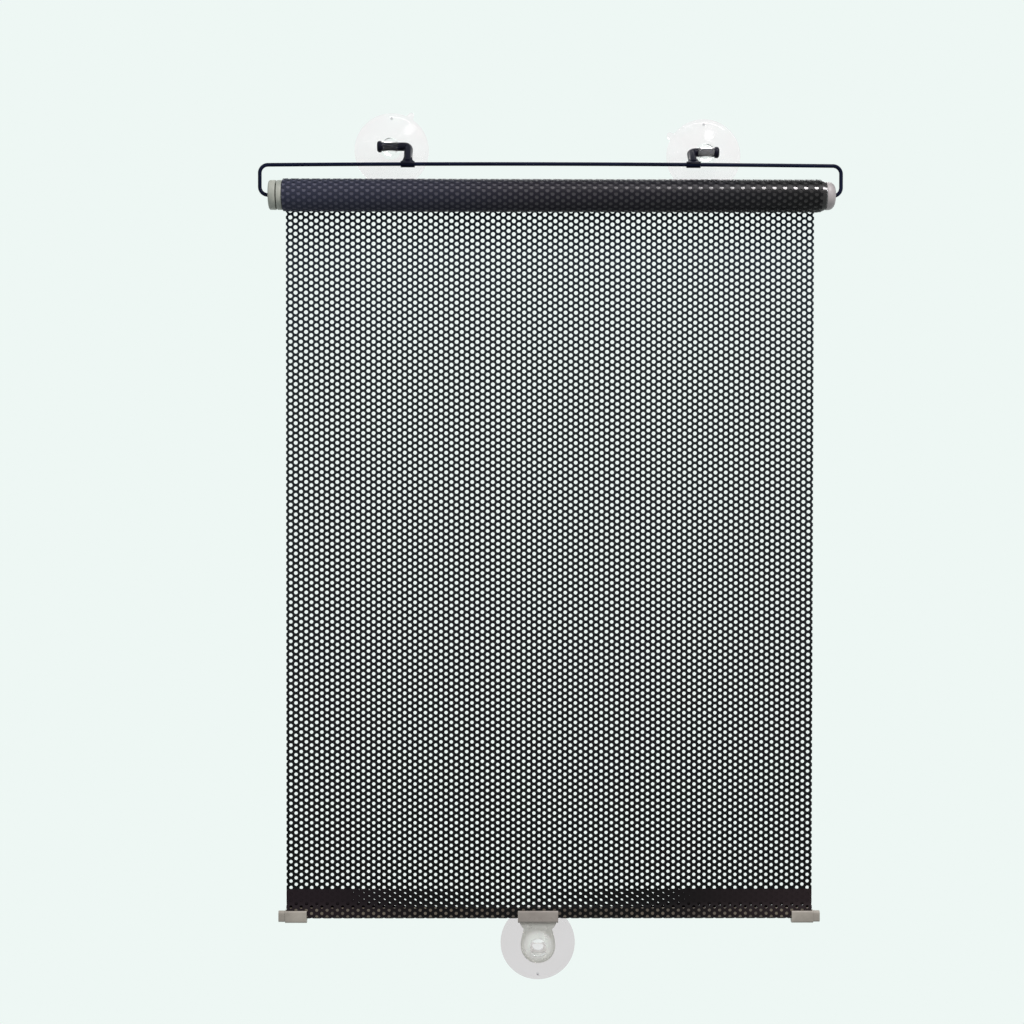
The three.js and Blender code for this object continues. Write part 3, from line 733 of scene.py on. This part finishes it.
film_roll()

# The wire bail
WIRE = 1.6 * MM  # radius with its coating
BAIL_CORNER = 7 * MM  # radius of the bends
BAIL_CROWN = 1.2 * MM  # how far the top run bows up in its middle
WIRE_TIP = 234.5 * MM  # from the middle, inside the caps


def wire_bail():
    low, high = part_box("wire_bail")
    wire = (high.y - low.y) / 2
    leg = high.x - wire
    top = high.z - wire - BAIL_CROWN
    corner = leg - BAIL_CORNER

    def bend(centre_z, start, end, steps=12):
        turns = [math.radians(start + (end - start) * i / steps) for i in range(steps + 1)]
        return [(corner + BAIL_CORNER * math.cos(t), centre_z + BAIL_CORNER * math.sin(t)) for t in turns]

    right = bend(top - BAIL_CORNER, 90, 0) + bend(axis.z + BAIL_CORNER, 0, -90) + [(WIRE_TIP, axis.z)]
    run = [(corner * s, top + BAIL_CROWN * (1 - s * s)) for s in np.linspace(-1, 1, 33)[1:-1]]
    left = [(-x, z) for x, z in reversed(right)]
    route = [(x, axis.y, z) for x, z in left + run + right]
    wire = smooth(rod("bail_wire", route, WIRE))
    paint(wire, wire_look)
    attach(wire, "bail")
    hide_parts("wire_bail")


wire_bail()

# The suction cups' turned form
KNOB_FRONT_EDGE = (2.6 * MM, 3 * MM)  # rounding along the axis and along the radius
KNOB_BACK_EDGE = 2 * MM
NECK_FLARE = 2.6 * MM
CROWN_SINK = 0.4 * MM
RIM_DEPTH = 1.1 * MM
LIP_EDGE = 0.3 * MM
HOLLOW_EDGE = 0.35 * MM
CROWN_EXTRA = 2.4 * MM  # how much thicker the dome is at its middle
DOME_CURVE = 1.7
HOLLOW_CURVE = 1.9
RELEASE_THICKNESS = 1 * MM
RELEASE_ROUNDING = 0.65  # radius of the release tab's round end, as a share of its half width
RELEASE_OVERLAP = 2.5 * MM
RELEASE_DEPTH = 0.8 * MM  # from the lip to the middle of the release tab
PIN_CUT = 9 * MM  # half the length of the tool that bores the cross hole


def dome_depth(radius):
    """From the crown to the dome's outer face."""
    return (CUP_DEPTH - RIM_DEPTH) * ((radius / CUP_RADIUS) ** DOME_CURVE - 0.06)


def rounded_plate(name, half_width, start, end, thickness):
    """A flat tongue in X and Z with a round far end, in the middle of Y."""
    radius = half_width * RELEASE_ROUNDING
    outline = [(-half_width, start), (half_width, start)]
    arc = np.linspace(0, math.pi, 17)
    outline += [(radius * math.cos(t), end - radius + radius * math.sin(t)) for t in arc]
    points = [(x, side * thickness / 2, z) for side in (-1, 1) for x, z in outline]
    count = len(outline)
    faces = [tuple(range(count)), tuple(range(2 * count - 1, count - 1, -1))]
    faces += [(i, (i + 1) % count, count + (i + 1) % count, count + i) for i in range(count)]
    piece = new_piece(name, points, faces)
    outward(piece)
    return piece


def cup_profile(knob_front, knob_back, crown, lip):
    """The closed outline of a cup as (along, radius), from the knob's front round the lip to the hollow."""
    along_edge, across_edge = KNOB_FRONT_EDGE
    profile = [(knob_front, 0), (knob_front, KNOB_RADIUS - across_edge)]
    for t in np.linspace(0, math.pi / 2, 7)[1:]:
        profile.append((knob_front + along_edge * (1 - math.cos(t)),
                        KNOB_RADIUS - across_edge + across_edge * math.sin(t)))
    for t in np.linspace(0, math.pi / 2, 6):
        profile.append((knob_back - KNOB_BACK_EDGE + KNOB_BACK_EDGE * math.sin(t),
                        KNOB_RADIUS - KNOB_BACK_EDGE * (1 - math.cos(t))))
    profile += [(knob_back, NECK_RADIUS), (crown - CROWN_SINK, NECK_RADIUS)]
    dome_start = NECK_RADIUS + NECK_FLARE
    for share in np.linspace(0, 1, 16):
        radius = dome_start + (CUP_RADIUS - dome_start) * share
        profile.append((crown + dome_depth(radius), radius))
    inner = CUP_RADIUS - LIP
    profile += [(lip - LIP_EDGE, CUP_RADIUS), (lip, CUP_RADIUS - LIP_EDGE), (lip, inner)]
    hollow = crown + CUP_WALL + CROWN_EXTRA
    for share in np.linspace(0, 1, 16):
        radius = inner * (1 - share)
        profile.append((hollow + (lip - HOLLOW_EDGE - hollow) * (radius / inner) ** HOLLOW_CURVE, radius))
    return profile


def suction_cup(node, place, release_turn, gate_turn, material):
    """A clear cup whose lip faces +Y. The place is the middle of the knob's cross hole."""
    towards_glass = Vector((0, 1, 0))
    knob_front, knob_back = -KNOB_LENGTH / 2, KNOB_LENGTH / 2
    crown = knob_back + NECK_LENGTH
    lip = crown + CUP_DEPTH
    cup = lathe(node + "_clear", cup_profile(knob_front, knob_back, crown, lip), towards_glass)

    release = rounded_plate("release", RELEASE_WIDTH / 2, CUP_RADIUS - RELEASE_OVERLAP,
                            CUP_RADIUS + RELEASE_REACH, RELEASE_THICKNESS)
    sideways = Matrix.Rotation(math.radians(release_turn), 4, "Y")
    release.data.transform(sideways @ Matrix.Translation((0, lip - RELEASE_DEPTH, 0)))
    combine(cup, release, "UNION")

    gate = lathe("gate", [(-0.5 * MM, 0), (-0.5 * MM, 0.9 * MM), (0.1 * MM, 0.8 * MM), (0.1 * MM, 0)],
                 towards_glass, 20)
    round_the_knob = Matrix.Rotation(math.radians(gate_turn), 4, "Y")
    gate_depth = crown + dome_depth(GATE_PLACE)
    gate.data.transform(round_the_knob @ Matrix.Translation((0, gate_depth, GATE_PLACE)))
    combine(cup, gate, "UNION")

    pin = lathe("pin_hole", [(-PIN_CUT, 0), (-PIN_CUT, PIN_HOLE), (PIN_CUT, PIN_HOLE), (PIN_CUT, 0)],
                Vector((1, 0, 0)), 48)
    combine(cup, pin, "DIFFERENCE")
    cup.data.transform(Matrix.Translation(place))
    smooth(cup, 32)
    paint(cup, material)
    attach(cup, frame["nodes"][node]["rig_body"])
    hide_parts(node)


suction_cup("cup_left", left_place, 29, 0, left_cup_look)
suction_cup("cup_right", right_place, -58, 0, right_cup_look)
suction_cup("cup_bottom", low_place, 0, 180, low_cup_shaded_look)

# Rigid pieces that keep their CAD form, with softened edges
for node, material, slot in (
    ("spring_cap", cap_look, "cap"),
    ("tube_plug_left", cap_look, "cap"),
    ("tube_plug_right", right_cap_lit_look, "cap"),
    ("end_clip_left", clip_look, "clip"),
    ("end_clip_right", clip_look, "clip"),
    ("pull_tab", tab_look, "tab"),
    ("hook_left", hook_look, "hook"),
    ("hook_right", hook_look, "hook"),
):
    refined(node, material)

# Pieces inside the roller and the hem keep their CAD node
for node, material in (
    ("spring_spindle", cap_look),
    ("spring_anchor", cap_look),
    ("torsion_spring", steel_look),
    ("roller_tube", tube_look),
    ("hem_bar", bar_tone_and_sheen_look),
):
    mesh = frame["nodes"][node].data
    mesh.materials.clear()
    mesh.materials.append(material)

# Stage, light and camera
BACKGROUND = linear(238, 247, 244)
WORLD_LIGHT = (0.95, 0.98, 1.0)
WORLD_STRENGTH = 0.45


def background_world():
    """The background's own tone where it is seen directly, through the cups or mirrored, and soft light."""
    world = bpy.data.worlds.new("studio")
    bpy.context.scene.world = world
    world.use_nodes = True
    tree = world.node_tree
    tree.nodes.clear()
    output = tree.nodes.new("ShaderNodeOutputWorld")
    shown = tree.nodes.new("ShaderNodeBackground")
    shown.inputs["Color"].default_value = (*BACKGROUND, 1)
    light = tree.nodes.new("ShaderNodeBackground")
    light.inputs["Color"].default_value = (*WORLD_LIGHT, 1)
    light.inputs["Strength"].default_value = WORLD_STRENGTH
    rays = tree.nodes.new("ShaderNodeLightPath")
    seen = rays.outputs["Is Camera Ray"]
    for kind in ("Is Transmission Ray", "Is Glossy Ray"):
        either = tree.nodes.new("ShaderNodeMath")
        either.operation = "MAXIMUM"
        tree.links.new(seen, either.inputs[0])
        tree.links.new(rays.outputs[kind], either.inputs[1])
        seen = either.outputs[0]
    mix = tree.nodes.new("ShaderNodeMixShader")
    tree.links.new(seen, mix.inputs["Fac"])
    tree.links.new(light.outputs[0], mix.inputs[1])
    tree.links.new(shown.outputs[0], mix.inputs[2])
    tree.links.new(mix.outputs[0], output.inputs["Surface"])


FLOOR_DROP = 0.66  # below the shade at rest, so that the fully drawn film hangs clear of the floor
FLOOR_FADE = 0.85  # radius at which the floor has faded into the background
FLOOR_HALF = 3


def stage_floor():
    """A pale floor under the hanging shade, which fades out into the background."""
    height = cad_box[0][2] - FLOOR_DROP
    corners = ((-1, -1), (1, -1), (1, 1), (-1, 1))
    points = [(FLOOR_HALF * x, FLOOR_HALF * y, height) for x, y in corners]
    floor = new_piece("floor", points, [(0, 1, 2, 3)])
    nodes = Nodes("floor_pale")
    nodes.shader.inputs["Base Color"].default_value = (*BACKGROUND, 1)
    nodes.shader.inputs["Roughness"].default_value = 0.9
    gradient = nodes.tree.nodes.new("ShaderNodeTexGradient")
    gradient.gradient_type = "SPHERICAL"
    mapping = nodes.tree.nodes.new("ShaderNodeMapping")
    mapping.inputs["Location"].default_value = (0, 0, -height / FLOOR_FADE)
    mapping.inputs["Scale"].default_value = (1 / FLOOR_FADE, 1 / FLOOR_FADE, 1 / FLOOR_FADE)
    nodes.link(nodes.place, mapping.inputs["Vector"])
    nodes.link(mapping.outputs["Vector"], gradient.inputs["Vector"])
    clear = nodes.tree.nodes.new("ShaderNodeBsdfTransparent")
    mix = nodes.tree.nodes.new("ShaderNodeMixShader")
    nodes.link(nodes.spread(gradient.outputs["Fac"], 0.0, 1.0, 0.0, 0.45), mix.inputs["Fac"])
    nodes.link(clear.outputs[0], mix.inputs[1])
    nodes.link(nodes.shader.outputs[0], mix.inputs[2])
    nodes.link(mix.outputs[0], nodes.tree.nodes["Material Output"].inputs["Surface"])
    floor.data.materials.append(nodes.material)


def area_light(name, place, target, size, power, colour=(1, 1, 1)):
    """A round soft light at a place, turned to a target."""
    lamp = bpy.data.lights.new(name, "AREA")
    lamp.shape = "DISK"
    lamp.size = size
    lamp.energy = power
    lamp.color = colour
    light = bpy.data.objects.new(name, lamp)
    bpy.context.scene.collection.objects.link(light)
    light.location = place
    light.rotation_euler = (Vector(target) - Vector(place)).to_track_quat("-Z", "Y").to_euler()


def camera():
    """The photograph's view."""
    lens = bpy.data.cameras.new("camera")
    lens.lens = 61.49
    lens.sensor_width = 36
    view = bpy.data.objects.new("camera", lens)
    bpy.context.scene.collection.objects.link(view)
    view.location = (-0.0426, -1.5397, -0.2889)
    view.rotation_euler = (math.radians(89.053), math.radians(-0.057), math.radians(-0.372))
    bpy.context.scene.camera = view


background_world()
stage_floor()
area_light("key", (-1.3, -1.6, 0.9), (0, 0, -0.3), 0.9, 12)
area_light("fill", (1.2, -1.5, 0.3), (0, 0, -0.35), 0.8, 7)
area_light("glint", (0.5, -0.99, 1.13), (0.18, -0.04, -0.04), 0.42, 24, (1.0, 0.96, 0.97))
area_light("back", (0.2, 1.3, 0.9), (0, 0, -0.3), 1.0, 8)
camera()
bpy.context.scene.view_settings.view_transform = "Standard"
